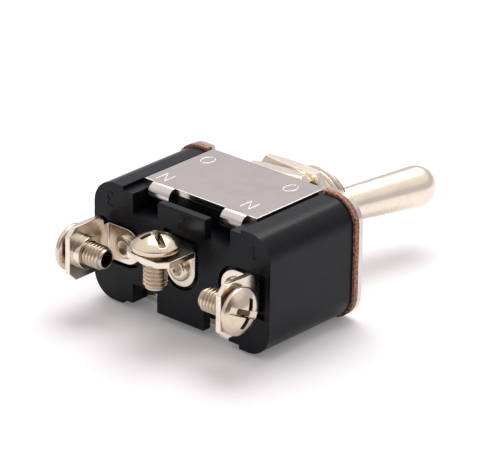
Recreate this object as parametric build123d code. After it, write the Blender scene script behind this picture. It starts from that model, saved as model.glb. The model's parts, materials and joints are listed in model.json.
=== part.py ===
"""Single-pole change-over toggle switch with screw terminals, panel mounted by a threaded bushing.

Frame: X across the switch (terminal 1 at +X, terminal 3 at -X), Y along the bushing axis towards
the lever, Z square to the two side plates.  The switch lies on one side plate.  Stations along Y
are measured from the back face of the housing; every piece is exported shifted so that the origin
is on the bushing axis, in the front nut's outer face, where the free thread begins.
"""
from build123d import *
from math import asin, cos, degrees, radians, sin, sqrt, tan
import os

# ---------------------------------------------------------------- driving dimensions, mm
# Housing (moulded phenolic cup, open towards the lever)
body_width = 33.0
body_thickness = 18.05
body_depth = 17.6
body_corner = 3.8
end_wall = 2.6                 # wall at the two narrow ends
plate_wall = 1.6               # wall under each side plate
cavity_corner = 1.2
floor_over_pocket = 1.2        # wall between a tab pocket and the cavity
centre_block_width = 8.8       # block between two tab pockets
block_chamfer = 0.25
block_depth = 1.4              # block in front of the channel that joins the two pockets
pocket_width = 4.7
pocket_depth = 3.0             # below the side-plate recess
lip_fillet = 0.3
terminal_recess = 0.8
recess_margin = 0.6            # around a terminal foot
recess_end_margin = 1.0        # beyond a terminal's arm

# Frame (one folded sheet: front flange, two side plates, four tabs)
sheet = 0.8
plate_width = 21.0
plate_rise = 0.2               # side plate above the housing lobes
plate_back = 3.9               # station of the side plates' rear edge
plate_gap = 0.5                # plate to recess wall, each side
frame_bend = 1.0               # outer bend radius, flange to side plate
tab_width = 3.9
tab_bend = 1.45                # outer radius of a curled tab
tab_curl = 150.0               # degrees of curl
tab_gap = 0.05                 # tab root to pocket wall
rim_overhang = 0.4             # gasket and flange beyond the housing
bend_relief = 0.35

# Gasket (vulcanised fibre)
gasket_thickness = 0.8
gasket_gap = 0.05

# Bushing, nuts and lock washer
thread_radius = 6.0            # crests of the free thread
pitch_line_depth = 0.3         # pitch line below the crests, where nuts and thread meet
bushing_length = 11.1          # beyond the flange
foot_lip = 1.4                 # foot beyond the thread
bushing_foot_depth = 1.8
foot_flat_gap = 0.2
swage_lip = 0.7                # collar beyond the thread
swage_height = 0.3
thread_chamfer = 0.5
keyway_width = 1.4
keyway_depth = 0.8
hole_gap = 0.02                # fixed pieces in their holes
foot_gap = 0.2                 # gasket opening round the bushing foot
nut_flats = 16.8
nut_height = 1.9
nut_chamfer_angle = 20.0       # degrees
rear_nut_turn = 3.0            # degrees
nut_stand = 0.75               # flange to rear nut
washer_gap = 0.2               # washer on the thread
washer_width = 1.9
washer_height = 0.9
washer_split = 1.6
washer_split_angle = 54.0      # degrees from +X towards +Z

# Lever
throw = 13.5                   # degrees each side of centre
pivot_height = 1.3             # pivot axis beyond the flange face
ball_radius = 4.2
ball_gap = 0.05
mouth_wall = 0.9
neck_start = 4.0
neck_radius = 2.25
knob_radius = 3.12
knob_reach = 24.75             # pivot to the centre of the rounded end
stem_radius = 2.9
stem_length = 8.6
pin_radius = 0.8
pin_inset = 0.7                # pin end below the thread crest
pin_gap = 0.05

# Plunger and its spring
plunger_radius = 1.5
plunger_gap = 0.05
plunger_guide = 5.67           # from the tip centre to the spring end
bore_stop = 1.6
spring_radius = 1.3
spring_wire = 0.36
spring_turns = 5
spring_gap = 0.33
spring_seat = 0.02

# Contacts
contact_sheet = 0.8
contact_width = 5.0
fixed_tip_radius = 1.4
fixed_tip_height = 0.6
tip_reach = 6.2                # rocker axis to a moving tip
tip_ball = 2.0
tip_radius = 1.25
contact_gap = 0.03
rocker_height = 1.3            # rocker axis above the cavity contact plates
rocker_rise = 0.9              # rocker axis to the cradle's lowest point
rocker_sheet = 0.8
rocker_arm_end = 7.7
rocker_arm_height = 2.15
cradle_half = 3.6
cradle_gap = 0.03
lug_radius = 0.45
lug_gap = 0.05
ear_gap = 0.25
ear_thickness = 0.8
ear_width = 3.0
ear_rise = 1.1
pillar_base = 5.2
strip_overlap = 2.2            # contact strip beyond the rivet axis

# Terminals, rivets and screws
terminal_sheet = 0.9
terminal_reach = 4.3           # rivet axis to the arm's outer face
side_arm_face = 14.6           # outer face of a side terminal's arm, from the centre
centre_arm_face = 4.1          # outer face of the centre terminal's arm, from the centre
foot_radius = 2.7
foot_proud = 0.1
terminal_bend = 1.2            # outer bend radius
arm_width = 8.1
arm_end = 8.0                  # beyond the back face
arm_shoulder = 1.0
arm_chamfer = 1.3
shoulder_chamfer = 0.6
screw_station = 5.2            # screw axis beyond the back face
collar_radius = 2.4
collar_lengths = {1: 0.4, 2: 0.4, 3: 1.3}      # beyond each arm, on the screw's far side
screw_radius = 1.75
screw_length = 6.0
screw_gap = 0.6                # head above the arm, as backed out for a wire
head_radius = 3.5
head_rim = 0.7
head_height = 2.2
slot_width = 1.0
slot_depth = 0.8
cross_width = 0.8
cross_length = 4.4
cross_depth = 1.5
screw_point = 0.4
screw_cup = 1.15                # radius of the hollow in the screw's end
screw_cup_depth = 1.2
slot_angles = {1: 65.0, 2: -27.0, 3: 35.0}     # degrees
rivet_radius = 1.25
rivet_dimple = 0.95             # radius of the punched dimple
rivet_dimple_depth = 0.25
rivet_head = 1.8
rivet_head_height = 0.7
rivet_roll_height = 0.5

# ---------------------------------------------------------------- stations and levels
recess_level = body_thickness / 2 + plate_rise - sheet      # floor of the side-plate recess
plate_level = recess_level + sheet                          # outer face of a side plate
recess_half = plate_width / 2 + plate_gap
pocket_level = recess_level - pocket_depth
pocket_inner = centre_block_width / 2
pocket_centre = pocket_inner + pocket_width / 2
pocket_station = plate_back - tab_gap
cavity_floor = pocket_station + floor_over_pocket
cavity_half_x = body_width / 2 - end_wall
cavity_half_z = recess_level - plate_wall
gasket_station = body_depth
flange_station = gasket_station + gasket_thickness
seat_station = flange_station + sheet
bushing_end = seat_station + bushing_length
rear_nut_station = seat_station + nut_stand
washer_station = rear_nut_station + nut_height
front_nut_station = washer_station + washer_height
origin_station = front_nut_station + nut_height             # the part's own origin
nutted_radius = thread_radius - pitch_line_depth
bushing_foot_radius = thread_radius + foot_lip
foot_flat = cavity_half_z - foot_flat_gap                   # flats that keep it from turning
washer_inner = thread_radius + washer_gap
washer_outer = washer_inner + washer_width
pivot_station = seat_station + pivot_height
plate_top = cavity_floor + contact_sheet                    # inner face of the contact plates
rocker_station = plate_top + rocker_height
fixed_tip_top = plate_top + fixed_tip_height
rocker_tilt = throw / 2
plunger_centre = pivot_station - rocker_station - rocker_rise - cradle_gap - plunger_radius
foot_front = -foot_proud
foot_back = foot_front + terminal_sheet
side_rivet = side_arm_face - terminal_reach
centre_rivet = centre_arm_face - terminal_reach
stem_bore = plunger_radius + plunger_gap


# ---------------------------------------------------------------- helpers
def along_y(shape, start, end):
    """Extrude an X-Z sketch from one station to another."""
    return extrude(Plane.XZ.offset(-start) * shape, amount=-(end - start))


def block(x0, x1, y0, y1, z0, z1):
    """A box from its limits."""
    size = (x1 - x0, y1 - y0, z1 - z0)
    return Pos((x0 + x1) / 2, (y0 + y1) / 2, (z0 + z1) / 2) * Box(*size)


def rod_y(radius, start, end, x=0.0, z=0.0):
    """A cylinder along Y between two stations."""
    return along_y(Pos(x, z) * Circle(radius), start, end)


def turned(points, axis_shift=0.0):
    """Turn a closed (radius, station) outline about the Y axis through X = axis_shift."""
    outline = make_face(Polyline(*[(r, s) for r, s in points], close=True))
    return Pos(axis_shift, 0, 0) * revolve(outline, Axis.Y)


def both_sides(maker):
    """A shape at the upper side plate and its copy at the lower one."""
    shape = maker()
    return shape + mirror(shape, Plane.XY)


def rim_outline(overhang):
    """Rounded outline of the housing, grown by an overhang."""
    radius = body_corner + overhang
    return RectangleRounded(body_width + 2 * overhang, body_thickness + 2 * overhang, radius)


def tilted(shape, angle, station):
    """Turn a shape about the Z axis that crosses the Y axis at a station."""
    return Pos(0, station, 0) * Rot(0, 0, angle) * Pos(0, -station, 0) * shape


# ---------------------------------------------------------------- housing, gasket and frame
def plate_recess():
    """Shallow flat recess for one side plate, through the rim edge."""
    return block(-recess_half, recess_half, -1, seat_station, recess_level, body_thickness)


def tab_pocket(side):
    """Pocket behind a side plate where one tab curls round the housing's lip."""
    centre = side * pocket_centre
    half = pocket_width / 2
    return block(centre - half, centre + half, -1, pocket_station, pocket_level, body_thickness)


def block_channel():
    """Channel behind the centre block, from one tab pocket to the other."""
    return block(-pocket_centre, pocket_centre, block_depth, pocket_station, pocket_level,
                 body_thickness)


def foot_outline(radius, reach):
    """Foot of a terminal seen from behind, pointing along +X from its rivet."""
    return Circle(radius) + Pos(reach / 2, 0) * Rectangle(reach, 2 * radius)


def terminal_places():
    """Location of each terminal: rivet axis and the direction in which its arm lies."""
    return {
        1: Pos(side_rivet, 0, 0),
        2: Pos(0, 0, centre_rivet) * Rot(0, -90, 0),
        3: Pos(-side_rivet, 0, 0) * Rot(0, 180, 0),
    }


def make_housing():
    """Moulded cup with side-plate recesses, tab pockets and terminal recesses."""
    shell = along_y(rim_outline(0), 0, body_depth)
    shell -= both_sides(plate_recess)
    cavity = Rectangle(2 * cavity_half_x, 2 * cavity_half_z)
    cavity = fillet(cavity.vertices(), cavity_corner)
    shell -= along_y(cavity, cavity_floor, body_depth + 1)
    for side in (-1, 1):
        shell -= both_sides(lambda: tab_pocket(side))
    shell = fillet(lip_edges(shell), lip_fillet)
    shell = chamfer(block_edges(shell), block_chamfer)
    shell -= both_sides(block_channel)
    recess = foot_outline(foot_radius + recess_margin, terminal_reach + recess_end_margin)
    for place in terminal_places().values():
        shell -= place * along_y(recess, -1, terminal_recess)
        shell -= place * rod_y(rivet_radius + hole_gap, -1, cavity_floor + 1)
    return shell


def lip_edges(shell):
    """Edges where the tabs turn over the lips of the four pockets."""
    return [e for e in shell.edges().filter_by(Axis.X)
            if abs(e.center().Y - pocket_station) < 1e-4
            and abs(abs(e.center().Z) - recess_level) < 1e-4]


def block_edges(shell):
    """Rear upper edge of the centre block."""
    return [e for e in shell.edges().filter_by(Axis.X)
            if abs(e.center().Y) < 1e-4 and abs(e.center().X) < 1e-4
            and abs(e.center().Z - recess_level) < 1e-4]


def make_gasket():
    """Fibre sheet between housing and frame, notched for the side plates."""
    opening = Circle(bushing_foot_radius + foot_gap)
    opening &= Rectangle(body_width, 2 * (foot_flat + foot_gap))
    sheet_face = rim_outline(rim_overhang) - opening
    gasket = along_y(sheet_face, gasket_station, flange_station)
    top = plate_level - frame_bend - gasket_gap
    notch = block(-recess_half, recess_half, 0, seat_station, top, body_thickness)
    return gasket - notch - mirror(notch, Plane.XY)


def side_plate():
    """One side plate with its bend into the flange."""
    half = plate_width / 2
    bend_y = seat_station - frame_bend
    bend_z = plate_level - frame_bend
    plate = block(-half, half, plate_back, bend_y, recess_level, plate_level)
    bend = Pos(0, bend_y, bend_z) * bend_sector(frame_bend, sheet, 0, 90, plate_width)
    web = block(-half, half, flange_station, seat_station, 0, bend_z)
    return plate + bend + web


def bend_sector(outer, thickness, start, sweep, width):
    """Bent sheet about the X axis: a ring sector, angles from +Y towards +Z."""
    ring = Circle(outer) - Circle(outer - thickness)
    corners = [(0, 0)]
    steps = max(2, int(sweep / 60) + 1)
    for step in range(steps + 1):
        angle = radians(start + sweep * step / steps)
        corners.append((2 * outer * cos(angle), 2 * outer * sin(angle)))
    wedge = make_face(Polyline(*corners, close=True))
    return extrude(Plane.YZ * (ring & wedge), amount=width / 2, both=True)


def tab(side):
    """One curled tab that grips the housing's lip."""
    shape = bend_sector(tab_bend, sheet, 90, tab_curl, tab_width)
    root_y = plate_back + (tab_bend - sheet) * 0.3
    root = block(-tab_width / 2, tab_width / 2, plate_back - 1e-3, root_y + 0.6,
                 recess_level, plate_level)
    return Pos(side * pocket_centre, 0, 0) * (Pos(0, root_y, plate_level - tab_bend) * shape + root)


def make_frame():
    """Flange with the housing's outline, two side plates and four tabs, one sheet."""
    flange = along_y(rim_outline(rim_overhang), flange_station, seat_station)
    cut = block(-plate_width / 2 - bend_relief, plate_width / 2 + bend_relief, 0, seat_station + 1,
                plate_level - frame_bend, body_thickness)
    flange -= cut + mirror(cut, Plane.XY)
    frame = flange + both_sides(side_plate)
    for side in (-1, 1):
        frame += both_sides(lambda: tab(side))
    return frame - rod_y(nutted_radius + hole_gap, flange_station - 1, seat_station + 1)


# ---------------------------------------------------------------- bushing and its hardware
def make_bushing():
    """Turned bushing: flatted foot, swaged collar, threaded barrel, ball socket and mouth."""
    foot = rod_y(bushing_foot_radius, flange_station - bushing_foot_depth, flange_station)
    foot &= block(-body_width, body_width, 0, bushing_end, -foot_flat, foot_flat)
    barrel = rod_y(thread_radius, origin_station, bushing_end)
    barrel = chamfer(barrel.edges().filter_by(GeomType.CIRCLE).sort_by(Axis.Y)[-1], thread_chamfer)
    barrel += rod_y(nutted_radius, flange_station, origin_station)
    collar = rod_y(thread_radius + swage_lip, seat_station, seat_station + swage_height)
    key = block(-thread_radius - 1, keyway_depth - thread_radius, seat_station + swage_height,
                bushing_end + 1, -keyway_width / 2, keyway_width / 2)
    body = foot + barrel + collar - key
    socket = ball_radius + ball_gap
    body -= rod_y(socket, 0, pivot_station) + Pos(0, pivot_station, 0) * Sphere(socket)
    mouth_radius = thread_radius - mouth_wall
    throat = sqrt(socket ** 2 - (neck_radius + 1) ** 2)
    body -= turned([(0, pivot_station), (neck_radius + 1, pivot_station + throat),
                    (mouth_radius, bushing_end), (mouth_radius, bushing_end + 1),
                    (0, bushing_end + 1)])
    hole = Pos(0, pivot_station, 0) * Cylinder(pin_radius, 2 * (thread_radius - pin_inset))
    return body - hole


def make_pin():
    """Pivot pin across the bushing, through the ball."""
    return Pos(0, pivot_station, 0) * Cylinder(pin_radius, 2 * (thread_radius - pin_inset))


def hex_nut(station, turn=0.0):
    """Hexagon nut, one flat upwards but for a turn, both faces chamfered at the corners."""
    corner = nut_flats / sqrt(3)
    prism = along_y(RegularPolygon(corner, 6, rotation=turn), station, station + nut_height)
    low = nut_flats / 2 - 0.15
    rise = (corner - low) * tan(radians(nut_chamfer_angle))
    lens = turned([(0, station), (low, station), (corner + 0.01, station + rise),
                   (corner + 0.01, station + nut_height - rise), (low, station + nut_height),
                   (0, station + nut_height)])
    return (prism & lens) - rod_y(nutted_radius + hole_gap, station - 1, station + nut_height + 1)


def make_lock_washer():
    """Split spring washer between the nuts."""
    ring = Circle(washer_outer) - Circle(washer_inner)
    split = Rot(0, 0, washer_split_angle) * Pos(washer_outer, 0) * Rectangle(
        2 * (washer_outer - washer_inner) + 2, washer_split)
    return along_y(ring - split, washer_station, front_nut_station)


# ---------------------------------------------------------------- lever, plunger and spring
def upright_lever():
    """Lever standing along Y: stem with plunger bore, ball, tapered bat with a round end."""
    p = pivot_station
    tilt = asin((knob_radius - neck_radius) / (knob_reach - neck_start))
    tangent = (knob_radius * cos(tilt), p + knob_reach - knob_radius * sin(tilt))
    bat = turned([(0, p), (neck_radius, p), (neck_radius, p + neck_start), tangent,
                  (0, tangent[1])])
    bat += Pos(0, p + knob_reach, 0) * Sphere(knob_radius)
    ball = Pos(0, p, 0) * Sphere(ball_radius)
    stem = rod_y(stem_radius, p - stem_length, p)
    bore = rod_y(stem_bore, p - stem_length - 1, p - bore_stop)
    hole = Pos(0, p, 0) * Cylinder(pin_radius + pin_gap, 3 * ball_radius)
    return bat + ball + stem - bore - hole


def make_lever():
    """Lever at rest, thrown towards +X."""
    return tilted(upright_lever(), -throw, pivot_station)


def make_plunger():
    """Insulating plunger in the stem's bore, round tip on the rocker."""
    tip = pivot_station - plunger_centre
    pin = rod_y(plunger_radius, tip, tip + plunger_guide) + Pos(0, tip, 0) * Sphere(plunger_radius)
    return tilted(pin, -throw, pivot_station)


def make_spring():
    """Coil spring between the bore's end and the plunger."""
    top = pivot_station - bore_stop - spring_seat
    bottom = pivot_station - plunger_centre + plunger_guide + spring_gap
    mean = spring_radius - spring_wire / 2
    height = top - bottom - spring_wire
    coil = Helix(pitch=height / spring_turns, height=height, radius=mean)
    section = Plane(origin=coil @ 0, z_dir=coil % 0) * Circle(spring_wire / 2)
    wire = sweep(section, path=coil)
    upright = Pos(0, bottom + spring_wire / 2, 0) * Rot(-90, 0, 0) * wire
    return tilted(upright, -throw, pivot_station)


# ---------------------------------------------------------------- contacts
def cradle():
    """Arc that the plunger's tip follows on the rocker: its radius and the height of its centre."""
    span = pivot_station - rocker_station
    wide, half = radians(1.5 * throw), radians(0.5 * throw)
    x = plunger_centre * sin(wide) - span * sin(half)
    rise = span * cos(half) - plunger_centre * cos(wide) - (span - plunger_centre)
    path = (x ** 2 + rise ** 2) / (2 * rise)
    return path + plunger_radius + cradle_gap, span - plunger_centre + path


def tip_centre_height():
    """Height above the rocker axis of a moving tip's ball centre, to touch at full tilt."""
    tilt = radians(rocker_tilt)
    wanted = fixed_tip_top + contact_gap + tip_ball - rocker_station
    return (wanted + tip_reach * sin(tilt)) / cos(tilt)


def make_rocker():
    """Bent contact rocker: cradle in the middle, two arms, one cross lug to rock on."""
    radius, height = cradle()
    window = Pos(0, rocker_rise) * Rectangle(2 * cradle_half, height)
    profile = (Pos(0, height) * Circle(radius + rocker_sheet)) & window
    length = rocker_arm_end - cradle_half + rocker_sheet / 2
    centre = rocker_arm_end - length / 2
    level = rocker_arm_height - rocker_sheet / 2
    for side in (-1, 1):
        profile += Pos(side * centre, level) * Rectangle(length, rocker_sheet)
    profile -= Pos(0, height) * Circle(radius)
    strip = extrude(profile, amount=contact_width / 2, both=True)
    lug = Cylinder(lug_radius, contact_width + 2 * (ear_gap + ear_thickness))
    return tilted(Pos(0, rocker_station, 0) * (strip + lug), rocker_tilt, rocker_station)


def make_moving_tip(side):
    """Domed silver tip under one rocker arm."""
    height = tip_centre_height()
    top = rocker_arm_height - rocker_sheet
    dome = Pos(0, height, 0) * Sphere(tip_ball)
    tip = rod_y(tip_radius, height - tip_ball, top) & dome
    tip = Pos(side * tip_reach, rocker_station, 0) * tip
    return tilted(tip, rocker_tilt, rocker_station)


def fixed_tip_x():
    """Distance of a fixed tip from the centre, under the closed moving tip."""
    tilt = radians(rocker_tilt)
    return tip_reach * cos(tilt) + tip_centre_height() * sin(tilt)


def make_contact_strip(side):
    """Strip riveted to the cavity floor behind one side terminal."""
    outer = side_rivet + strip_overlap
    inner = fixed_tip_x() - fixed_tip_radius - 0.3
    strip = block(inner, outer, cavity_floor, plate_top, -contact_width / 2, contact_width / 2)
    strip = fillet(strip.edges().filter_by(Axis.Y), 0.8)
    strip -= rod_y(rivet_radius + hole_gap, 0, body_depth, side_rivet)
    return strip if side > 0 else mirror(strip, Plane.YZ)


def make_fixed_tip(side):
    """Flat silver tip on one contact strip."""
    tip = rod_y(fixed_tip_radius, plate_top, fixed_tip_top, side * fixed_tip_x())
    return chamfer(tip.edges().filter_by(GeomType.CIRCLE).sort_by(Axis.Y)[-1], 0.15)


def make_pillar():
    """Centre contact: base on the cavity floor with two notched ears for the rocker's lug."""
    inner = contact_width / 2 + ear_gap
    outer = inner + ear_thickness
    base = block(-pillar_base / 2, pillar_base / 2, cavity_floor, plate_top, -outer, outer)
    ear = block(-ear_width / 2, ear_width / 2, cavity_floor, rocker_station + ear_rise, inner, outer)
    notch_radius = lug_radius + lug_gap
    notch = Pos(0, rocker_station, 0) * Cylinder(notch_radius, body_thickness)
    slot = block(-notch_radius, notch_radius, rocker_station, body_depth, -outer - 1, outer + 1)
    pillar = base + ear + mirror(ear, Plane.XY) - notch - slot
    return pillar - rod_y(rivet_radius + hole_gap, 0, body_depth, 0, centre_rivet)


# ---------------------------------------------------------------- terminals, rivets, screws
def upright_terminal(number):
    """Terminal with its rivet at the origin and its arm at +X, pointing backwards."""
    hole = rod_y(rivet_radius + hole_gap, -1, body_depth)
    straight = terminal_reach - terminal_bend
    foot = along_y(foot_outline(foot_radius, straight), foot_front, foot_back)
    bend = bend_sector(terminal_bend, terminal_sheet, 0, 90, 2 * foot_radius)
    bend = Pos(straight, foot_back - terminal_bend, 0) * Rot(0, 0, -90) * Rot(0, -90, 0) * bend
    inner_face = terminal_reach - terminal_sheet
    neck = block(inner_face, terminal_reach, -arm_shoulder - 0.5, foot_back - terminal_bend,
                 -foot_radius, foot_radius)
    arm = arm_plate()
    collar_length = collar_lengths[number]
    collar = Pos(inner_face - collar_length / 2, -screw_station, 0) * Rot(0, 90, 0) * Cylinder(
        collar_radius, collar_length)
    tapped = Pos(inner_face, -screw_station, 0) * Rot(0, 90, 0) * Cylinder(
        screw_radius + hole_gap, 4 * (collar_length + terminal_sheet))
    return foot + bend + neck + arm + collar - tapped - hole


def arm_plate():
    """Flat arm with chamfered corners, in its own plane."""
    half = arm_width / 2
    c, s = arm_chamfer, shoulder_chamfer
    corners = [(-arm_shoulder, half - s), (-arm_shoulder - s, half), (-arm_end + c, half),
               (-arm_end, half - c), (-arm_end, c - half), (-arm_end + c, -half),
               (-arm_shoulder - s, -half), (-arm_shoulder, s - half)]
    face = Plane.YZ.offset(terminal_reach - terminal_sheet) * make_face(Polyline(*corners, close=True))
    return extrude(face, amount=terminal_sheet)


def upright_screw(number):
    """Pan-head screw along X with a slot and a cross recess, head outwards."""
    seat = terminal_reach + screw_gap
    dome = head_height - head_rim
    dome_radius = (head_radius ** 2 + dome ** 2) / (2 * dome)
    top = seat + head_height
    shank = Cylinder(screw_radius, screw_length)
    shank = chamfer(shank.edges().filter_by(GeomType.CIRCLE).sort_by(Axis.Z)[0], screw_point)
    shank = Pos(0, 0, seat - screw_length / 2) * shank
    shank -= Pos(0, 0, seat - screw_length) * Cylinder(screw_cup, 2 * screw_cup_depth)
    head = Pos(0, 0, seat + head_height / 2) * Cylinder(head_radius, head_height)
    head &= Pos(0, 0, top - dome_radius) * Sphere(dome_radius)
    slot = Pos(0, 0, top) * Box(3 * head_radius, slot_width, 2 * slot_depth)
    cross = Box(cross_length, cross_width, 2 * cross_depth)
    cross = Pos(0, 0, top) * (cross + Rot(0, 0, 90) * cross)
    screw = shank + head - Rot(0, 0, slot_angles[number]) * (slot + cross)
    return Pos(0, -screw_station, 0) * Rot(0, 90, 0) * screw


def make_rivet(x, z):
    """Rivet through terminal, housing and inner contact, its outer head punched to a dimple."""
    back = foot_front - rivet_head_height
    front = plate_top + rivet_roll_height
    rivet = turned([(0, back + rivet_dimple_depth), (rivet_dimple, back), (rivet_head - 0.4, back),
                    (rivet_head, back + 0.35),
                    (rivet_head, foot_front), (rivet_radius, foot_front), (rivet_radius, plate_top),
                    (rivet_head, plate_top), (rivet_head - 0.3, front), (0, front)])
    return Pos(x, 0, z) * rivet


# ---------------------------------------------------------------- assembly
def build():
    """Every node by name."""
    places = terminal_places()
    pieces = {
        "housing": make_housing(),
        "gasket": make_gasket(),
        "frame": make_frame(),
        "bushing": make_bushing(),
        "pivot_pin": make_pin(),
        "rear_nut": hex_nut(rear_nut_station, rear_nut_turn),
        "lock_washer": make_lock_washer(),
        "front_nut": hex_nut(front_nut_station),
        "lever": make_lever(),
        "plunger": make_plunger(),
        "plunger_spring": make_spring(),
        "contact_rocker": make_rocker(),
        "rocker_pillar": make_pillar(),
    }
    for number, side in ((1, 1), (3, -1)):
        pieces[f"contact_strip_{number}"] = make_contact_strip(side)
        pieces[f"fixed_tip_{number}"] = make_fixed_tip(side)
        pieces[f"moving_tip_{number}"] = make_moving_tip(side)
    rivets = {1: (side_rivet, 0.0), 2: (0.0, centre_rivet), 3: (-side_rivet, 0.0)}
    for number, place in places.items():
        pieces[f"terminal_{number}"] = place * upright_terminal(number)
        pieces[f"terminal_screw_{number}"] = place * upright_screw(number)
        pieces[f"rivet_{number}"] = make_rivet(*rivets[number])
    return pieces


os.makedirs("parts", exist_ok=True)
for name, piece in build().items():
    export_step(Pos(0, -origin_station, 0) * piece, f"parts/{name}.step")

stations = {"pivot": pivot_station, "rocker axis": rocker_station, "back face": 0,
            "frame face": seat_station, "bushing end": bushing_end}
for name, station in stations.items():
    print(f"{name}: {station - origin_station:.3f} mm from the origin along Y")
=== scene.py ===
# %% [markdown]
# # A toggle switch with screw terminals
#
# This lesson dresses a small electrical part.  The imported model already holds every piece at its
# true size: a moulded housing in a folded metal frame, a threaded bushing with its nuts, a lever
# and three screw terminals.  Here each piece gets the small shapes that catch the light, such as
# threads, rounded edges and raised figures, and then a finish that behaves like the real one.
#
# We begin by loading that model as a fixed frame.  All sizes from here on are in metres.

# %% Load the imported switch
import json

import bmesh
import bpy
import numpy as np
from mathutils import Matrix, Vector

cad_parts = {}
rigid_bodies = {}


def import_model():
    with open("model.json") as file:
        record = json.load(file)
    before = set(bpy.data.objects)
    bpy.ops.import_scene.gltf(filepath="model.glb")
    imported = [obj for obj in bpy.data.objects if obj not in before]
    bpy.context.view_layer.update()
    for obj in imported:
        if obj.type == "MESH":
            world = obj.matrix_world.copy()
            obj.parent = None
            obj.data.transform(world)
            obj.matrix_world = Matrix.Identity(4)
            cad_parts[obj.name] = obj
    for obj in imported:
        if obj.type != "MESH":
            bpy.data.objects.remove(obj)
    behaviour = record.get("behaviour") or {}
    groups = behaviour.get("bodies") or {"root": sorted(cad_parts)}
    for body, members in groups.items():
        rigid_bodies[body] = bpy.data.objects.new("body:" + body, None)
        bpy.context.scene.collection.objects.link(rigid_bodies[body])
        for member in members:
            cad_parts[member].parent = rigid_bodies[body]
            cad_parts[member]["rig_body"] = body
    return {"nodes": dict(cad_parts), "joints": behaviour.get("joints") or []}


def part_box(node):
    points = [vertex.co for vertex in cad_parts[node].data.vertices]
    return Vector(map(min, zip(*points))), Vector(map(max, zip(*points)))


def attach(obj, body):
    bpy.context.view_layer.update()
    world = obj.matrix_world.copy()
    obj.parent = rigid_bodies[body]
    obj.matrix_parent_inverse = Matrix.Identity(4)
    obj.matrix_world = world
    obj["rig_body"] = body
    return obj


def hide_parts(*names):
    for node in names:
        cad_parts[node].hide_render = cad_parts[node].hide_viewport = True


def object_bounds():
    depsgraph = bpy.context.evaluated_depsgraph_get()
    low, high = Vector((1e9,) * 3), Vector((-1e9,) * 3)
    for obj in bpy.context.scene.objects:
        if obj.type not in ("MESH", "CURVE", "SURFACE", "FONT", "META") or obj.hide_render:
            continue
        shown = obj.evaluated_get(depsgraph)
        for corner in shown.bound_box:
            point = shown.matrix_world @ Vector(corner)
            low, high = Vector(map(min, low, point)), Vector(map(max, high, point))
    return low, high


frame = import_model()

MM = 0.001
SHELL = "switch_body"
cad_low, cad_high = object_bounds()
joints = {joint["name"]: joint for joint in frame["joints"]}
print("switch box, mm:", [round(1000 * (b - a), 2) for a, b in zip(cad_low, cad_high)])

# %% [markdown]
# ## Surfaces as arrays
#
# A shape that numpy can work out is a table of points: one row for each station along the piece
# and one column for each step round it.  Neighbouring points make four-sided faces.  Where a row
# ends a closed shape, a fan of triangles to one middle point closes it.  The same helper serves
# every new piece, and it checks by the sign of the volume that the faces look outwards.

# %% Turn a table of points into a mesh
def grid_faces(rows, columns, ring_of_rows=False):
    """Four corners for each cell of a table whose columns close into a ring."""
    down = np.arange(rows if ring_of_rows else rows - 1)[:, None]
    across = np.arange(columns)[None, :]
    below, beside = (down + 1) % rows, (across + 1) % columns
    corners = [down * columns + across, down * columns + beside,
               below * columns + beside, below * columns + across]
    return np.stack([np.broadcast_to(c, (len(down), columns)) for c in corners], -1).reshape(-1, 4)


def fan_faces(first, columns, middle, backwards):
    """Triangles from one row of points to a middle point."""
    ring = first + np.arange(columns)
    onward = first + (np.arange(columns) + 1) % columns
    pair = (onward, ring) if backwards else (ring, onward)
    return np.stack([*pair, np.full(columns, middle)], -1)


def signed_volume(points, faces):
    """Six times the enclosed volume: the sum of corner triple products of the fan of each face."""
    total = 0.0
    for size in (3, 4):
        group = np.array([face for face in faces if len(face) == size])
        for k in range(1, size - 1):
            if len(group):
                a, b, c = points[group[:, 0]], points[group[:, k]], points[group[:, k + 1]]
                total += np.einsum("ij,ij->i", a, np.cross(b, c)).sum()
    return total


def closed_surface(table, ring_of_rows=False):
    """Points and faces of a closed shape from a table of points, with its two ends fanned shut."""
    rows, columns, _ = table.shape
    points = table.reshape(-1, 3)
    faces = grid_faces(rows, columns, ring_of_rows).tolist()
    if not ring_of_rows:
        middles = np.stack([table[0].mean(0), table[-1].mean(0)])
        faces += fan_faces(0, columns, len(points), True).tolist()
        faces += fan_faces((rows - 1) * columns, columns, len(points) + 1, False).tolist()
        points = np.vstack([points, middles])
    if signed_volume(points, faces) < 0:
        faces = [face[::-1] for face in faces]
    return points, faces


def piece_from(name, *shells, crease=35.0):
    """One object from one or more closed shells, smooth except at creases sharper than an angle."""
    points, faces, start = [], [], 0
    for shell_points, shell_faces in shells:
        points.append(shell_points)
        faces += [[start + k for k in face] for face in shell_faces]
        start += len(shell_points)
    mesh = bpy.data.meshes.new(name)
    mesh.from_pydata(np.vstack(points), [], faces)
    mesh.shade_smooth()
    mesh.set_sharp_from_angle(angle=np.radians(crease))
    piece = bpy.data.objects.new(name, mesh)
    bpy.context.scene.collection.objects.link(piece)
    return piece


def mark(piece, name, values):
    """Store one number for each point of a piece, which its finish can read."""
    layer = piece.data.attributes.new(name, "FLOAT", "POINT")
    layer.data.foreach_set("value", np.concatenate(values).astype(np.float32))


print("surface helpers ready")

# %% [markdown]
# ## Softer edges for stamped, turned and moulded pieces
#
# No real edge is perfectly sharp.  A tumbled brass terminal and a moulded lobe both end in a tiny
# round that shows as a bright line.  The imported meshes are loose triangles, so a copy is merged,
# its flat areas are joined into single faces, and a narrow Bevel rounds what is left.  A flat face
# beside a curved strip would still look bent, because their shared normals are averaged, so a
# Weighted Normal gives the larger face the last word.  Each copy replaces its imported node.

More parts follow.
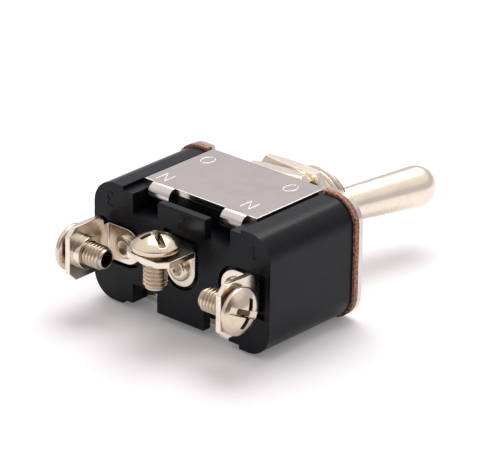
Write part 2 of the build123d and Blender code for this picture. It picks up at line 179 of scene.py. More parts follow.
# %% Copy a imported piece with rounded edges
def softened(node, name, width=0.10, steps=2, corner=32.0):
    """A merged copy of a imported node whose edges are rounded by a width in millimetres."""
    source = frame["nodes"][node]
    build = bmesh.new()
    build.from_mesh(source.data)
    bmesh.ops.remove_doubles(build, verts=build.verts, dist=2e-6)
    bmesh.ops.dissolve_limit(build, angle_limit=np.radians(0.6), verts=build.verts, edges=build.edges)
    mesh = bpy.data.meshes.new(name)
    build.to_mesh(mesh)
    build.free()
    mesh.shade_smooth()
    mesh.set_sharp_from_angle(angle=np.radians(corner))
    piece = bpy.data.objects.new(name, mesh)
    bpy.context.scene.collection.objects.link(piece)
    if width:
        bevel = piece.modifiers.new("rounded edges", "BEVEL")
        bevel.width, bevel.segments = width * MM, steps
        bevel.limit_method, bevel.angle_limit = "ANGLE", np.radians(corner)
        bevel.harden_normals = True
        weighted = piece.modifiers.new("flat faces stay flat", "WEIGHTED_NORMAL")
        weighted.keep_sharp = True
    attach(piece, source["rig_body"])
    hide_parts(node)
    return piece


housing = softened("housing", "housing_moulding", 0.16, 3)
gasket = softened("gasket", "fibre_gasket", 0.06)
folded_frame = softened("frame", "folded_frame", 0.20, 3)
nuts = [softened(node, f"chamfered_{node}", 0.10) for node in ("rear_nut", "front_nut")]
washer = softened("lock_washer", "split_washer", 0.07)
terminals = [softened(f"terminal_{n}", f"stamped_terminal_{n}", 0.09) for n in (1, 2, 3)]
print("softened pieces:", 4 + len(nuts) + len(terminals))

# %% [markdown]
# ## Threads
#
# A screw thread is one ridge wound round a cylinder.  At angle a and distance s along the axis,
# the ridge's height depends only on how far s is from the nearest turn, and the turns move on by
# one pitch each time round.  So the radius is the root plus a wave of (s / pitch - a / full turn).
# The wave has straight flanks with a narrow flat at the crest and at the root, as a cut thread
# has, and fading it at both ends gives the run-out.

# %% The thread wave
def thread_wave(turns, crest=0.125, root=0.20):
    """Straight-flanked wave of height 0 to 1; crest and root are the flats' shares of a pitch."""
    slope = np.abs((turns % 1.0) * 2.0 - 1.0)
    return np.clip((slope - root) / (1.0 - root - crest), 0.0, 1.0)


def fade(distance, length, run_out):
    """1 along the middle of a thread, falling smoothly to 0 over a run-out at both ends."""
    edge = np.clip(np.minimum(distance, length - distance) / run_out, 0.0, 1.0)
    return edge * edge * (3.0 - 2.0 * edge)


def angles(count):
    """Equal steps round one full turn."""
    return np.linspace(0.0, 2.0 * np.pi, count, endpoint=False)


print("one pitch of the wave:", np.round(thread_wave(np.linspace(0, 1, 9)), 2))

# %% [markdown]
# ## The terminal screws
#
# Each screw is a pan head with a slot and a cross recess, on a short threaded shank with a cupped
# end.  The head is drawn as a height over a disc: the height at a point is the dome, lowered to the
# slot's floor inside the slot and to a sloping floor inside the cross.  A soft step between the two
# gives every recess a small rounded lip, which a plain cut would not have.
#
# Every point also carries a number of painted shade, which darkens the colour where shade falls:
# 0 on open metal, 0.3 in a thread's root, 1 in the cross, and 2 in the end's cup, painted near black.

# %% Head and shank of a screw
head_radius = 3.5 * MM
head_height = 2.2 * MM
head_rim = 0.7 * MM
slot_half = 0.50 * MM
slot_floor = 1.05 * MM
cross_half = 0.38 * MM
cross_reach = 2.15 * MM
cross_floor = 1.6 * MM
lip = 0.07 * MM
shank_radius = 1.75 * MM
shank_length = 6.0 * MM
screw_pitch = 0.6 * MM
thread_depth = 0.31 * MM


def soft_step(distance):
    """1 well inside a shape, 0 well outside, over the width of one lip."""
    t = np.clip(0.5 - distance / lip, 0.0, 1.0)
    return t * t * (3.0 - 2.0 * t)


def head_surface(turn):
    """Pan head as rows from the middle of its crown to its rim, down and back under.

    Height over the seat = dome - step(slot) * cut to the slot's floor, then the same for a cross
    whose floor rises with distance from the middle.  Painted shade = the cross's cut over 0.06 mm,
    and a thin dark line where the slot's step is half way.
    """
    spread = 1.0 - np.cos(np.linspace(0.0, np.pi / 2, 92))[1:]
    rho = head_radius * (1.0 - 0.5 * lip / head_radius) * np.sqrt(spread)
    phi = angles(240)
    r, a = np.meshgrid(rho, phi, indexing="ij")
    x, y = r * np.cos(a), r * np.sin(a)
    rise = head_height - head_rim
    crown = (head_radius ** 2 + rise ** 2) / (2 * rise)
    dome = head_height - crown + np.sqrt(crown ** 2 - r ** 2)
    u = x * np.cos(turn) + y * np.sin(turn)
    v = y * np.cos(turn) - x * np.sin(turn)
    slot = soft_step(np.abs(v) - slot_half)
    height = dome - slot * np.maximum(dome - head_height + slot_floor, 0)
    from_arms = np.minimum(np.abs(u), np.abs(v))
    inside = np.maximum(from_arms - cross_half, r - cross_reach)
    floor = head_height - cross_floor + 0.36 * r
    cut = soft_step(inside) * np.maximum(height - floor, 0)
    # Painted shade: the cross is darkened, and the slot's edge gets a thin dark line.
    bare = np.maximum(np.clip(cut / (0.06 * MM), 0, 1), 2.4 * slot * (1.0 - slot))
    height -= cut
    side_r = np.array([head_radius, head_radius, head_radius - 0.12 * MM, shank_radius * 0.7])
    side_h = np.array([head_rim - 0.06 * MM, 0.12 * MM, 0.0, 0.0])
    side = np.stack([side_r[:, None] * np.cos(phi), side_r[:, None] * np.sin(phi),
                     np.broadcast_to(side_h[:, None], (4, len(phi)))], -1)
    bare = np.concatenate([bare.ravel(), np.zeros(side[..., 0].size), [1.0, 0.0]])
    return *closed_surface(np.concatenate([np.stack([x, y, height], -1), side])), bare


def shank_surface():
    """Threaded shank from inside the head to a cupped end, with its ridge fading at both ends."""
    run = np.linspace(0.0, shank_length - 0.30 * MM, 230)
    a = angles(72)
    s, t = np.meshgrid(run, a, indexing="ij")
    ridge = thread_wave(s / screw_pitch - t / (2 * np.pi)) * fade(s, run[-1], 0.4 * MM)
    r = shank_radius - thread_depth + thread_depth * ridge
    body = np.stack([r * np.cos(t), r * np.sin(t), -s], -1)
    tip_r = np.array([1.45, 1.36, 1.22, 1.15, 1.12, 1.05, 0.80, 0.10]) * MM
    tip_s = shank_length - np.array([0.16, 0.03, 0.0, 0.06, 0.30, 1.20, 1.45, 1.60]) * MM
    tip = np.stack([tip_r[:, None] * np.cos(a), tip_r[:, None] * np.sin(a),
                    np.broadcast_to(-tip_s[:, None], (8, len(a)))], -1)
    # Painted shade: the thread's roots are darkened a little, and the end's cup is painted near black.
    painted_cup_shade = np.repeat([0.0, 0.0, 0.0, 1.2, 2.0, 2.0, 2.0, 2.0], len(a))
    bare = np.concatenate([0.30 * (1.0 - ridge).ravel(), painted_cup_shade, [0.0, 2.0]])
    return *closed_surface(np.concatenate([body, tip])), bare


print("head and shank described")

# %% [markdown]
# The three terminals are one stamping turned three ways, so the screws are too.  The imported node's
# box tells where each screw stands: its axis is the direction in which the head points, and the
# seat lies one head's height inside the outer end of the box.

# %% Place the three screws
def screw_place(node, out):
    """Seat of a screw's head and the turn that points its head outwards."""
    low, high = (np.array(corner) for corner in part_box(node))
    out = np.array(out, float)
    middle = (low + high) / 2
    end = np.where(out > 0, high, low)
    seat = np.where(out != 0, end - out * head_height, middle)
    turn = Vector((0, 0, 1)).rotation_difference(Vector(out)).to_matrix()
    return seat, np.array(turn)


def make_screw(number, out, slot_turn):
    """One screw with its slot turned by an angle in degrees."""
    node = f"terminal_screw_{number}"
    seat, turn = screw_place(node, out)
    parts = head_surface(np.radians(slot_turn)), shank_surface()
    shells = [(points @ turn.T + seat, faces) for points, faces, _ in parts]
    screw = piece_from(f"threaded_screw_{number}", *shells, crease=50.0)
    mark(screw, "bare", [bare for _, _, bare in parts])
    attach(screw, SHELL)
    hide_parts(node)
    return screw


screws = [make_screw(1, (1, 0, 0), 65.0), make_screw(2, (0, 0, 1), -27.0),
          make_screw(3, (-1, 0, 0), 35.0)]
print("screws:", [len(screw.data.polygons) for screw in screws])

# %% [markdown]
# ## The rivets
#
# Each rivet is closed by a punch that spreads its end into a low dome and leaves an uneven dimple
# in the middle.  The outline of dome, shank and inner head is turned round the axis.  The dimple's
# floor is then roughened by a product of two waves, one round the axis and one outwards, which is
# uneven enough to break its reflections into spots.

# %% Rivets with a punched dome
def rivet_surface(node):
    """Outline of radius and depth round a vertical axis; depth grows by a small wave in the dimple.

    The wave is 0.07 mm * sin(3 a + 1) * sin(9 r) * dimple, where dimple falls from 1 in the middle
    to 0 at the dome's crest.
    """
    low, high = (np.array(corner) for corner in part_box(node))
    middle, length = (low + high) / 2, (high[1] - low[1]) / MM
    head, shank, dome_height, roll_height = (high[0] - low[0]) / 2 / MM, 1.25, 0.7, 0.5
    outline = np.array([
        (0.10, 0.30), (0.35, 0.28), (0.60, 0.22), (0.80, 0.10), (0.98, 0.02), (1.15, 0.0),
        (head - 0.42, 0.04), (head - 0.20, 0.15), (head - 0.05, 0.34), (head, 0.5), (head, dome_height),
        (shank, dome_height), (shank, length - roll_height), (head, length - roll_height),
        (head - 0.02, length - 0.4),
        (head - 0.30, length - 0.02), (1.0, length), (0.8, length - 0.1), (0.1, length - 0.25)])
    r, a = np.meshgrid(outline[:, 0], angles(64), indexing="ij")
    dimple = np.clip((1.05 - r) / 0.5, 0, 1) * (np.arange(len(outline)) < 8)[:, None]
    depth = outline[:, 1:] + 0.07 * np.sin(3 * a + 1) * np.sin(9 * r) * dimple
    table = np.stack([r * np.cos(a) * MM + middle[0], depth * MM + low[1],
                      r * np.sin(a) * MM + middle[2]], -1)
    # Painted shade: the punched dimple is marked to be darkened in colour.
    bare = np.concatenate([(0.35 * dimple * np.ones_like(r)).ravel(), [0.35, 0.0]])
    return *closed_surface(table), bare


rivets = []
for number in (1, 2, 3):
    points, faces, bare = rivet_surface(f"rivet_{number}")
    rivet = piece_from(f"punched_rivet_{number}", (points, faces), crease=40.0)
    mark(rivet, "bare", [bare])
    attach(rivet, SHELL)
    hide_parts(f"rivet_{number}")
    rivets.append(rivet)
print("rivets:", [len(rivet.data.polygons) for rivet in rivets])

# %% [markdown]
# ## The bushing
#
# The bushing is turned from bar.  Its outline, from the ball socket out through the mouth, back
# along the thread and round the foot, is a closed loop of radius and distance.  Carrying that loop
# round the axis makes the whole piece.  Two things break the roundness: the keyway, where the
# radius stops at a flat floor, and the two flats of the foot.  Both are a limit on the radius that
# depends on the angle, the distance to a flat line seen from the axis: distance / cos(angle).  The
# thread's roots get a little painted shade and the stretch behind the front nut gets much, so the
# washer's split shows a painted dark gap.

# %% Turn the bushing
pivot = np.array(joints["lever_throw"]["pos_m"])
foot_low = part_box("bushing")[0][1]
mouth_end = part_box("bushing")[1][1]
flange_back, flange_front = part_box("gasket")[1][1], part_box("frame")[1][1]
nose_radius = 6.0 * MM
bore_radius = 4.25 * MM
throat_radius = 3.25 * MM
mouth_radius = 5.1 * MM
collar_radius = 6.7 * MM
collar_top = flange_front + 0.3 * MM
foot_radius = 7.4 * MM
foot_flat = 6.625 * MM
key_half, key_depth = 0.7 * MM, 0.8 * MM
nut_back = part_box("front_nut")[0][1]
bushing_pitch = 0.95 * MM
bushing_depth = 0.42 * MM


def arc(centre_r, centre_s, radius, start, end, count):
    """Points (radius, distance) along an arc, angles in degrees from the radius direction."""
    t = np.radians(np.linspace(start, end, count))
    return np.stack([centre_r + radius * np.cos(t), centre_s + radius * np.sin(t)], -1)


def bushing_outline():
    """Outline of the bushing as one closed loop, and the name of the stretch of each point."""
    throat = np.degrees(np.arccos(throat_radius / bore_radius))
    r = 0.12 * MM
    back_edge = [(bore_radius + 0.2 * MM, foot_low), (bore_radius, foot_low + 0.2 * MM)]
    ball = arc(0, pivot[1], bore_radius, 0, throat, 22)
    cone = np.linspace(ball[-1], (mouth_radius, mouth_end - 0.15 * MM), 12)[1:]
    lips = arc(mouth_radius + 0.15 * MM, mouth_end - 0.15 * MM, 0.15 * MM, 150, 90, 5)
    nose = np.linspace((nose_radius - 0.6 * MM, mouth_end), (nose_radius, mouth_end - 0.5 * MM), 6)
    run = np.linspace(mouth_end - 0.52 * MM, collar_top + 0.15 * MM, 210)
    thread = np.stack([np.full(len(run), nose_radius), run], -1)
    collar = [(nose_radius - 0.3 * MM, collar_top), *arc(collar_radius - r, collar_top - r, r, 90, 0, 4),
              (collar_radius, flange_front + 0.01 * MM)]
    neck = [(nose_radius - 0.05 * MM, flange_front), (nose_radius - 0.05 * MM, flange_back)]
    foot = [*arc(foot_radius - r, flange_back - r, r, 90, 0, 4),
            *arc(foot_radius - r, foot_low + r, r, 0, -90, 4)]
    stretches = {"back edge": back_edge, "ball": ball, "cone": cone, "lips": lips, "nose": nose,
                 "thread": thread, "collar": collar, "neck": neck, "foot": foot}
    names = np.concatenate([[name] * len(points) for name, points in stretches.items()])
    return np.vstack(list(stretches.values())), names


def bushing_surface():
    """The outline carried round the axis, its radius limited at the keyway and at the foot's flats."""
    outline, names = bushing_outline()
    around = np.sort(np.concatenate([angles(180), np.pi + np.linspace(-0.13, 0.13, 30)]))
    radius, a = np.meshgrid(outline[:, 0], around, indexing="ij")
    along = np.broadcast_to(outline[:, 1:], radius.shape)
    ends = fade(along - collar_top, mouth_end - collar_top, 0.35 * MM)
    wave = thread_wave(along / bushing_pitch - a / (2 * np.pi))
    radius = radius - (names == "thread")[:, None] * bushing_depth * (1.0 - wave * ends)
    x, z = np.cos(a), np.sin(a)
    keyed = np.isin(names, ("nose", "thread"))[:, None] & (x < 0)
    in_key = keyed * np.clip((key_half - np.abs(z * nose_radius)) / (0.06 * MM) + 0.5, 0, 1)
    floor = np.minimum(radius, (nose_radius - key_depth) / np.maximum(-x, 0.05))
    radius = radius + in_key * (floor - radius)
    flats = np.where((names == "foot")[:, None], foot_flat / np.maximum(np.abs(z), 1e-6), np.inf)
    radius = np.minimum(radius, flats)
    # Painted shade: a little in the thread's roots, almost full on the stretch behind the front nut.
    hidden = np.clip((nut_back - along) / (0.1 * MM), 0, 1)
    bare = (names == "thread")[:, None] * np.maximum(0.35 * (1.0 - wave), 0.9 * hidden)
    return *closed_surface(np.stack([radius * x, along, radius * z], -1), ring_of_rows=True), bare


points, faces, bare = bushing_surface()
bushing = piece_from("threaded_bushing", (points, faces), crease=40.0)
mark(bushing, "bare", [bare.ravel()])
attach(bushing, SHELL)
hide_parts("bushing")
print("bushing faces:", len(bushing.data.polygons))

# %% [markdown]
# ## Figures and letters
#
# The moulded figures 1, 2 and 3 and the stamped word ON are raised strokes.  Each stroke is a half
# round ridge carried along a line or an arc, sinking into the surface at its ends.  Text objects
# would give flat slabs with square sides; a ridge has the soft top that tooling leaves.

# %% A raised stroke
def ridge(path, ground, right, up, out, width, height):
    """Ridge along a flat path of (right, up) points on a surface.

    A point of the ridge is ground + path + across * cos(t) * half width + out * sin(t) * height,
    and the whole section shrinks to nothing at the two ends.
    """
    path = np.array(path, float)
    along = np.gradient(path, axis=0)
    along /= np.linalg.norm(along, axis=1)[:, None]
    step = np.concatenate([[0], np.cumsum(np.linalg.norm(np.diff(path, axis=0), axis=1))])
    ends = np.sqrt(np.clip(1 - (1 - np.minimum(step, step[-1] - step) / (width / 2)).clip(0, 1) ** 2,
                           0.02, 1))
    t = np.linspace(0, 2 * np.pi, 12, endpoint=False)
    side = (np.cos(t) * width / 2)[None, :] * ends[:, None]
    lift = np.where(np.sin(t) > 0, np.sin(t) * height, np.sin(t) * 0.03 * MM)[None, :] * ends[:, None]
    across = np.stack([along[:, 1], -along[:, 0]], -1)
    flat = path[:, None, :] + across[:, None, :] * side[..., None]
    table = (np.array(ground) + flat[..., :1] * np.array(right) + flat[..., 1:] * np.array(up)
             + lift[..., None] * np.array(out))
    return closed_surface(table)


def line(a, b):
    """Straight stroke between two points."""
    ends = np.array([0, 0.06, 0.12, 0.2, 0.35, 0.5, 0.65, 0.8, 0.88, 0.94, 1.0])[:, None]
    return np.array(a) + ends * (np.array(b) - np.array(a))


def bow(centre, size, start, end, count=22):
    """Elliptic stroke about a centre, angles in degrees from the right."""
    t = np.radians(np.linspace(start, end, count))
    return np.array(centre) + np.stack([size[0] * np.cos(t), size[1] * np.sin(t)], -1)


GLYPHS = {
    "1": [line((0.05, -0.5), (0.05, 0.5)), line((0.05, 0.5), (-0.22, 0.26))],
    "2": [bow((0, 0.22), (0.28, 0.28), 165, -38), line((0.22, 0.05), (-0.3, -0.5)),
          line((-0.3, -0.5), (0.32, -0.5))],
    "3": [bow((-0.02, 0.24), (0.27, 0.25), 150, -88), bow((-0.02, -0.25), (0.3, 0.27), 88, -150)],
    "O": [bow((0, 0), (0.36, 0.5), 90, 250), bow((0, 0), (0.36, 0.5), 262, 438)],
    "N": [line((-0.31, -0.5), (-0.31, 0.5)), line((-0.31, 0.5), (0.31, -0.5)),
          line((0.31, -0.5), (0.31, 0.5))],
}


def glyph(name, letter, size, ground, right, up, out, width, height):
    """One figure or letter as one object that rides on the switch."""
    strokes = [ridge(stroke * size, ground, right, up, out, width, height)
               for stroke in GLYPHS[letter]]
    piece = piece_from(name, *strokes, crease=60.0)
    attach(piece, SHELL)
    return piece


back_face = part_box("housing")[0][1]
plate_face = 9.225 * MM
figures = []
for letter, x, z in (("1", 13.4, 6.2), ("2", 0.1, 6.6), ("3", -13.5, 6.3)):
    figure = glyph(f"moulded_figure_{letter}", letter, 2.0 * MM, (x * MM, back_face, z * MM),
                   (-1, 0, 0), (0, 0, -1), (0, -1, 0), 0.36 * MM, 0.12 * MM)
    figures.append(figure)
letters = []
for side, letter, x, station in (("right", "O", 6.85, 15.25), ("right", "N", 6.65, 6.9),
                                 ("left", "O", -8.3, 14.8), ("left", "N", -8.45, 6.2)):
    ground = (x * MM, back_face + station * MM, plate_face)
    stamped = glyph(f"stamped_{letter}_{side}", letter, 2.5 * MM, ground,
                    (1, 0, 0), (0, 1, 0), (0, 0, 1), 0.17 * MM, 0.05 * MM)
    letters.append(stamped)
print("figures:", len(figures), "letters:", len(letters))

# %% [markdown]
# A sheet that is cut with a punch keeps a fine rolled edge on one side, and its pale colour is a
# painted highlight along it.  It is the same ridge, laid along the side plate's edges between and beside
# the tabs.

# %% The plate's rolled edges
edge_x, edge_back, edge_front = 10.40, 4.0, 18.1
tab_inner, tab_outer = 4.7, 8.9
edge_runs = [((edge_x, edge_front), (edge_x, edge_back)), ((edge_x, edge_back), (tab_outer, edge_back)),
             ((tab_inner, edge_back), (-tab_inner, edge_back)),
             ((-tab_outer, edge_back), (-edge_x, edge_back))]
strokes = [ridge(line(start, end) * MM, (0, back_face, plate_face), (1, 0, 0), (0, 1, 0), (0, 0, 1),
                 0.20 * MM, 0.07 * MM) for start, end in edge_runs]
rolled_edge = piece_from("rolled_edge", *strokes, crease=60.0)
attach(rolled_edge, SHELL)
print("edge runs:", len(edge_runs))

# %% [markdown]
# ## Sums with sockets
#
# A finish is a small network of nodes, and its sums are easier to read as sums.  The class below
# holds one output socket.  Adding, subtracting, multiplying or dividing it makes a Math node and
# gives back that node's output, in either order, so 1 - mask works.  Colours must not pass through
# a Math node, which would turn them grey, so they are mixed by a separate method.

# %% The socket, network and finish classes
class Socket:
    """One output of a node, which can be used in sums."""

    def __init__(self, network, output):
        self.network, self.output = network, output

    def math(self, operation, *others):
        """A Math node on this socket and other sockets or numbers."""
        return self.network.node("ShaderNodeMath", {"operation": operation},
                                {k: v for k, v in enumerate((self, *others))})

    def __add__(self, other):
        return self.math("ADD", other)

    def __mul__(self, other):
        return self.math("MULTIPLY", other)

    def __sub__(self, other):
        return self.math("SUBTRACT", other)

    def __truediv__(self, other):
        return self.math("DIVIDE", other)

    def __rsub__(self, other):
        return self.network.number(other).math("SUBTRACT", self)

    __radd__, __rmul__ = __add__, __mul__

    def above(self, low, high):
        """0 under low, 1 over high, smooth between."""
        return self.network.node("ShaderNodeMapRange", {"interpolation_type": "SMOOTHSTEP"},
                                {"Value": self, "From Min": low, "From Max": high})


class Network:
    """A tree of nodes that grows by one call for each node."""

    def __init__(self, tree):
        self.tree = tree

    def node(self, kind, settings=None, inputs=None, output=0):
        """Any node: its type, its settings, then the values or links of its sockets."""
        made = self.tree.nodes.new(kind)
        for key, value in (settings or {}).items():
            if key == "stops":
                while len(made.color_ramp.elements) < len(value):
                    made.color_ramp.elements.new(0.5)
                for element, (position, colour) in zip(made.color_ramp.elements, value):
                    element.position, element.color = position, (*colour, 1.0)
            else:
                setattr(made, key, value)
        for key, value in (inputs or {}).items():
            if isinstance(value, Socket):
                self.tree.links.new(value.output, made.inputs[key])
            else:
                made.inputs[key].default_value = value
        return Socket(self, made.outputs[output]) if len(made.outputs) else made

    def number(self, value):
        """A plain number as a socket."""
        return self.node("ShaderNodeMath", {"operation": "ADD"}, {0: float(value), 1: 0.0})

    def mix(self, factor, first, second):
        """A colour between two colours."""
        def solid(colour):
            return colour if isinstance(colour, Socket) else (*colour, 1.0)
        return self.node("ShaderNodeMix", {"data_type": "RGBA"},
                         {0: factor, 6: solid(first), 7: solid(second)}, output=2)


class Finish(Network):
    """A material with a Principled shader."""

    def __init__(self, name, **constants):
        self.material = bpy.data.materials.new(name)
        self.material.use_nodes = True
        super().__init__(self.material.node_tree)
        self.shader = self.tree.nodes["Principled BSDF"]
        for socket, value in constants.items():
            self.shader.inputs[socket.replace("_", " ")].default_value = value
        self.place = self.node("ShaderNodeTexCoord", output="Object")

    def stored(self, name):
        """A number that each point of a piece carries under a name."""
        return self.node("ShaderNodeAttribute", {"attribute_name": name}, output="Fac")

    def noise(self, size, detail=2.0, roughness=0.5, stretch=(1, 1, 1), distortion=0.0):
        """Cloudy values whose grain is about a size in millimetres, stretched along the axes."""
        scale = [1.0 / (size * MM * k) for k in stretch]
        spot = self.node("ShaderNodeMapping", inputs={"Vector": self.place, "Scale": scale})
        return self.node("ShaderNodeTexNoise", inputs={
            "Vector": spot, "Scale": 1.0, "Detail": detail, "Roughness": roughness,
            "Distortion": distortion})

    def bump(self, height, depth, strength=1.0):
        """Tilt the surface by a height whose full range is a depth in millimetres."""
        normal = self.node("ShaderNodeBump", inputs={
            "Height": height, "Distance": depth * MM, "Strength": strength})
        self.feed("Normal", normal)

    def feed(self, name, value):
        """Link a socket into the Principled shader."""
        self.tree.links.new(value.output, self.shader.inputs[name])

    def paint(self, *pieces):
        """Give pieces this finish alone."""
        for piece in pieces:
            piece.data.materials.clear()
            piece.data.materials.append(self.material)
        return self.material.name


print("finishes can be built")

# %% [markdown]
# ## Bright nickel over brass
#
# The bushing, nuts, lever, terminals and rivets are brass with bright nickel plate.  Nickel is not
# grey like chrome: it is a warm, creamy white.  Stamped and turned parts are tumbled before they
# are plated, so the mirror has a soft, uneven wave, fine hairlines, and small dull patches.  The
# wave is bump, the hairlines and patches change the roughness, and the colour drifts a little
# where the plate is thin.  Screws, rivets and the bushing also read their number of painted shade,
# which turns them brown and dull at 1 in recesses and thread roots, and near black in a screw's cup.

# %% Nickel finishes
def nickel(name, colour, thin, rough, wave=0.012, bare=None):
    """Warm metal with uneven plate: a colour, a colour where it is thin, and a roughness."""
    f = Finish(name, Metallic=1.0)
    cloud = f.noise(3.2, 3.0, 0.55)
    hair = f.noise(0.30, 4.0, 0.7)
    patch = cloud.above(0.50, 0.72)
    shade = f.mix(patch * 0.75, colour, thin)
    gloss = rough + 0.08 * patch + 0.10 * (hair - 0.5)
    # Painted shade: the stored number darkens the colour to brown in recesses, thread roots and behind
    # the front nut, and to near black in a screw's end cup; it also adds roughness.
    if bare:
        painted_shade_mask = f.stored("bare").above(0.03, 0.60)
        painted_cup_shade = f.stored("bare").above(1.1, 1.7)
        shade = f.mix(painted_cup_shade, f.mix(painted_shade_mask, shade, bare), (0.02, 0.016, 0.012))
        gloss = gloss + 0.25 * painted_shade_mask + 0.3 * painted_cup_shade
    f.feed("Base Color", shade)
    f.feed("Roughness", gloss)
    f.bump(f.noise(1.5, 1.0) + 0.05 * hair, wave)
    return f


bright = nickel("bright_nickel", (0.84, 0.755, 0.655), (0.74, 0.65, 0.54), 0.20)
print(bright.paint(*terminals))
# For the turned and screw finishes the last colour is the painted shade of recesses and thread roots.
turned = nickel("turned_nickel", (0.84, 0.76, 0.665), (0.77, 0.68, 0.575), 0.30, 0.006,
                bare=(0.10, 0.07, 0.05))
print(turned.paint(bushing, *nuts))
screw_nickel = nickel("screw_nickel", (0.74, 0.63, 0.50), (0.60, 0.48, 0.35), 0.18, 0.008,
                      bare=(0.16, 0.11, 0.065))
print(screw_nickel.paint(*screws, *rivets))
lever_nickel = nickel("lever_nickel", (0.86, 0.765, 0.645), (0.80, 0.70, 0.575), 0.26, 0.006)
print(lever_nickel.paint(frame["nodes"]["lever"]))
spring_plate = nickel("washer_plate", (0.66, 0.585, 0.50), (0.48, 0.41, 0.34), 0.24)
print(spring_plate.paint(washer, frame["nodes"]["pivot_pin"]))

# %% [markdown]
# ## The frame's plate
#
# The folded frame is steel strip with a thinner, greyer plate.  Strip is rolled, so its finest lines
# all run one way.  They are far too fine to see one by one and only stretch the reflections a
# little along the sheet.  The stamped letters stand proud of it and are duller, and their paler
# colour is a painted highlight.

# %% Steel plate
plate = Finish("frame_plate", Metallic=1.0)
rolled = plate.noise(0.12, 3.0, 0.6, (1, 18, 1))
cloud = plate.noise(5.0, 2.0)
plate.feed("Base Color", plate.mix(cloud.above(0.42, 0.70), (0.70, 0.635, 0.59), (0.655, 0.59, 0.545)))
plate.feed("Roughness", 0.17 + 0.10 * (rolled - 0.5) + 0.05 * cloud)
plate.bump(plate.noise(2.6, 1.0) + 0.05 * rolled, 0.010)
print(plate.paint(folded_frame))

# Painted highlight: the letters and the rolled edge are painted paler than the plate to give their bright
# lines.
highlight_paint = Finish("painted_highlight_letters", Metallic=0.6)
scuff = highlight_paint.noise(0.25, 3.0)
highlight_paint.feed("Base Color", highlight_paint.mix(scuff.above(0.3, 0.7), (0.88, 0.83, 0.80), (0.78, 0.73, 0.70)))
highlight_paint.feed("Roughness", 0.36 + 0.2 * scuff)
highlight_paint.bump(scuff, 0.01)
print(highlight_paint.paint(*letters, rolled_edge))

# %% [markdown]
# ## Moulded phenolic
#
# The housing is a black thermoset.  Pressed against a polished steel mould it comes out glossy,
# with a faint orange peel, and the filler shows as very fine paler specks.  Rubbed corners turn a
# little dull.  Its black is slightly blue.

# %% Phenolic
phenolic = Finish("black_phenolic", Specular_IOR_Level=0.17)
peel = phenolic.noise(0.9, 2.0)
speck = phenolic.noise(0.16, 2.0, 0.6)
haze = phenolic.noise(6.0, 3.0, 0.6)
tone = phenolic.mix(haze.above(0.4, 0.7), (0.0060, 0.0066, 0.0095), (0.0090, 0.0098, 0.0135))
phenolic.feed("Base Color", phenolic.mix(speck.above(0.66, 0.80) * 0.5, tone, (0.035, 0.034, 0.036)))
phenolic.feed("Roughness", 0.20 + 0.14 * haze + 0.05 * speck)
phenolic.bump(peel + 0.10 * speck, 0.010)
print(phenolic.paint(housing, *figures))

# %% [markdown]
# ## Vulcanised fibre
#
# The gasket is punched from fibre board: cotton paper pressed hard, dyed red-brown.  On its cut
# edge the layers show as fine streaks along the sheet, with darker specks and a dry, dull surface.

# %% Fibre
fibre = Finish("vulcanised_fibre", Specular_IOR_Level=0.3)
layer = fibre.noise(0.16, 4.0, 0.7, (3, 0.5, 3))
fleck = fibre.noise(0.35, 3.0, 0.7)
colour = fibre.mix(layer.above(0.36, 0.62), (0.22, 0.085, 0.052), (0.62, 0.33, 0.22))
fibre.feed("Base Color", fibre.mix(fleck.above(0.52, 0.60) * 0.85, colour, (0.045, 0.022, 0.017)))
fibre.feed("Roughness", 0.62 + 0.25 * layer)
fibre.bump(layer + fleck, 0.06)
print(fibre.paint(gasket))

# %% [markdown]
# ## Inside the housing
#
# What the housing hides still gets its own finish, because the pieces may be looked at apart: soft
# copper strip with a faint tarnish, brighter silver contact faces, a nylon plunger and spring wire.

# %% Inner pieces
copper = Finish("contact_copper", Metallic=1.0)
tarnish = copper.noise(1.8, 4.0, 0.6).above(0.42, 0.66)
copper.feed("Base Color", copper.mix(tarnish, (0.80, 0.46, 0.29), (0.52, 0.27, 0.16)))
copper.feed("Roughness", 0.24 + 0.22 * tarnish)
copper.bump(copper.noise(0.2, 3.0, 0.6, (6, 1, 1)), 0.006)
print(copper.paint(*(frame["nodes"][n] for n in (
    "contact_rocker", "rocker_pillar", "contact_strip_1", "contact_strip_3"))))

silver = Finish("contact_silver", Metallic=1.0)
wear = silver.noise(0.5, 3.0).above(0.45, 0.7)
silver.feed("Base Color", silver.mix(wear, (0.92, 0.90, 0.86), (0.72, 0.68, 0.60)))
silver.feed("Roughness", 0.26 + 0.20 * wear)
silver.bump(silver.noise(0.25, 3.0), 0.010)
print(silver.paint(*(frame["nodes"][f"{kind}_tip_{n}"] for kind in ("fixed", "moving") for n in (1, 3))))

nylon = Finish("natural_nylon", Subsurface_Weight=0.15)
nylon.shader.inputs["Subsurface Scale"].default_value = 0.6 * MM
milky = nylon.noise(0.8, 3.0)
nylon.feed("Base Color", nylon.mix(milky.above(0.35, 0.7), (0.80, 0.77, 0.68), (0.70, 0.66, 0.55)))
nylon.feed("Roughness", 0.38 + 0.12 * milky)
nylon.bump(milky, 0.012)
print(nylon.paint(frame["nodes"]["plunger"]))

wire = Finish("spring_wire", Metallic=1.0)
drawn = wire.noise(0.2, 3.0, 0.7)
wire.feed("Base Color", wire.mix(drawn.above(0.4, 0.7), (0.56, 0.55, 0.53), (0.40, 0.38, 0.36)))
wire.feed("Roughness", 0.22 + 0.18 * drawn)
wire.bump(drawn, 0.005)
print(wire.paint(frame["nodes"]["plunger_spring"]))

# %% [markdown]
# ## Floor, light and camera
#
# The switch lies on a white sheet.  The sheet takes the shadow in the ordinary way, and to the
# camera it also glows a little, so that it ends as clean white with a soft grey shadow.  The room
# is a bright dome that is a little blue and dimmer near the horizon, with one dark side: the metal
# needs something dark to mirror, or it looks like white plastic.

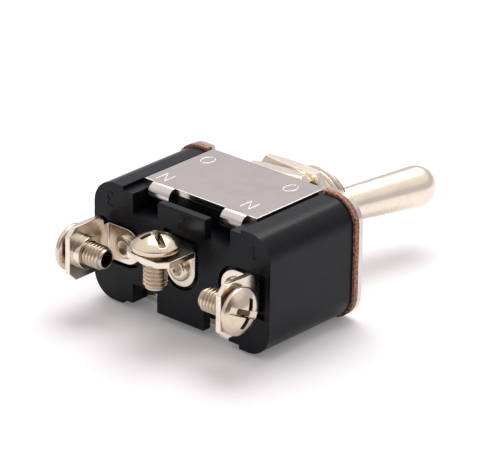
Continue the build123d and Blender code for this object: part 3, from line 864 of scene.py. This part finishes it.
# %% Floor
floor_mesh = bpy.data.meshes.new("sheet")
reach = 1.5
level = cad_low[2]
corners = [(-reach, -reach, level), (reach, -reach, level), (reach, reach, level), (-reach, reach, level)]
floor_mesh.from_pydata(corners, [], [(0, 1, 2, 3)])
floor = bpy.data.objects.new("sheet", floor_mesh)
bpy.context.scene.collection.objects.link(floor)
paper = Finish("white_sheet")
paper.shader.inputs["Base Color"].default_value = (0.76, 0.745, 0.765, 1.0)
paper.shader.inputs["Roughness"].default_value = 0.8
paper.shader.inputs["Specular IOR Level"].default_value = 0.1
paper.shader.inputs["Emission Color"].default_value = (1.0, 0.995, 1.0, 1.0)
rays = paper.tree.nodes.new("ShaderNodeLightPath")
seen = Socket(paper, rays.outputs["Is Camera Ray"]) + Socket(paper, rays.outputs["Is Glossy Ray"])
seen = (seen + Socket(paper, rays.outputs["Is Transmission Ray"])).math("MINIMUM", 1.0)
paper.feed("Emission Strength", seen * 0.14)
print(paper.paint(floor), "at", round(1000 * level, 2), "mm")

# %% Room
world = bpy.data.worlds.new("room")
bpy.context.scene.world = world
world.use_nodes = True
world.node_tree.nodes.clear()
room = Network(world.node_tree)
direction = room.node("ShaderNodeTexCoord", output="Generated")
height = room.node("ShaderNodeSeparateXYZ", inputs={"Vector": direction}, output="Z")
dark_side = (0.600, -0.690, 0.405)
toward = room.node("ShaderNodeVectorMath", {"operation": "DOT_PRODUCT"},
                   {0: direction, 1: dark_side}, output="Value")
up = room.node("ShaderNodeValToRGB", {"stops": [
    (0.0, (0.58, 0.57, 0.61)), (0.38, (0.62, 0.605, 0.67)), (0.56, (0.96, 0.93, 0.91)),
    (0.95, (1.0, 0.97, 0.94))]}, {"Fac": height})
sky = room.node("ShaderNodeBackground", inputs={
    "Color": room.mix(toward.above(0.60, 0.97), up, (0.16, 0.135, 0.12))})
room.node("ShaderNodeOutputWorld", inputs={"Surface": sky})
print("room nodes:", len(world.node_tree.nodes))

# %% Lamps
def softbox(name, place, size, power, target=(0.0, -0.004, 0.0)):
    """A square lamp at a place in metres, facing the switch."""
    data = bpy.data.lights.new(name, "AREA")
    data.size, data.energy = size, power
    lamp = bpy.data.objects.new(name, data)
    lamp.location = place
    lamp.rotation_mode = "QUATERNION"
    lamp.rotation_quaternion = (Vector(target) - Vector(place)).to_track_quat("-Z", "Y")
    bpy.context.scene.collection.objects.link(lamp)
    return lamp


softbox("overhead", (-0.10, 0.16, 0.42), 0.34, 1.6)
print("lamps:", len(bpy.data.lights))

# %% Camera
camera_data = bpy.data.cameras.new("camera")
sensor, focal_widths = 36.0, 3822.6 / 500
camera_data.sensor_width = sensor
camera_data.lens = focal_widths * sensor
camera_data.clip_start, camera_data.clip_end = 0.01, 20.0
camera = bpy.data.objects.new("camera", camera_data)
bpy.context.scene.collection.objects.link(camera)
azimuth, elevation, roll = np.radians([41.01, 23.92, 0.93])
camera.location = (0.32510, -0.38390, 0.22038)
level_part = np.cos(elevation)
back = Vector((np.sin(azimuth) * level_part, -np.cos(azimuth) * level_part, np.sin(elevation)))
camera.rotation_mode = "QUATERNION"
camera.rotation_quaternion = back.to_track_quat("Z", "Y") @ Matrix.Rotation(roll, 3, "Z").to_quaternion()
bpy.context.scene.camera = camera
view = bpy.context.scene.view_settings
view.view_transform = "Standard"
print("lens, mm:", round(camera_data.lens, 1))

# %% [markdown]
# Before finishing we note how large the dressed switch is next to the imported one.

# %% Finish
bpy.context.view_layer.update()
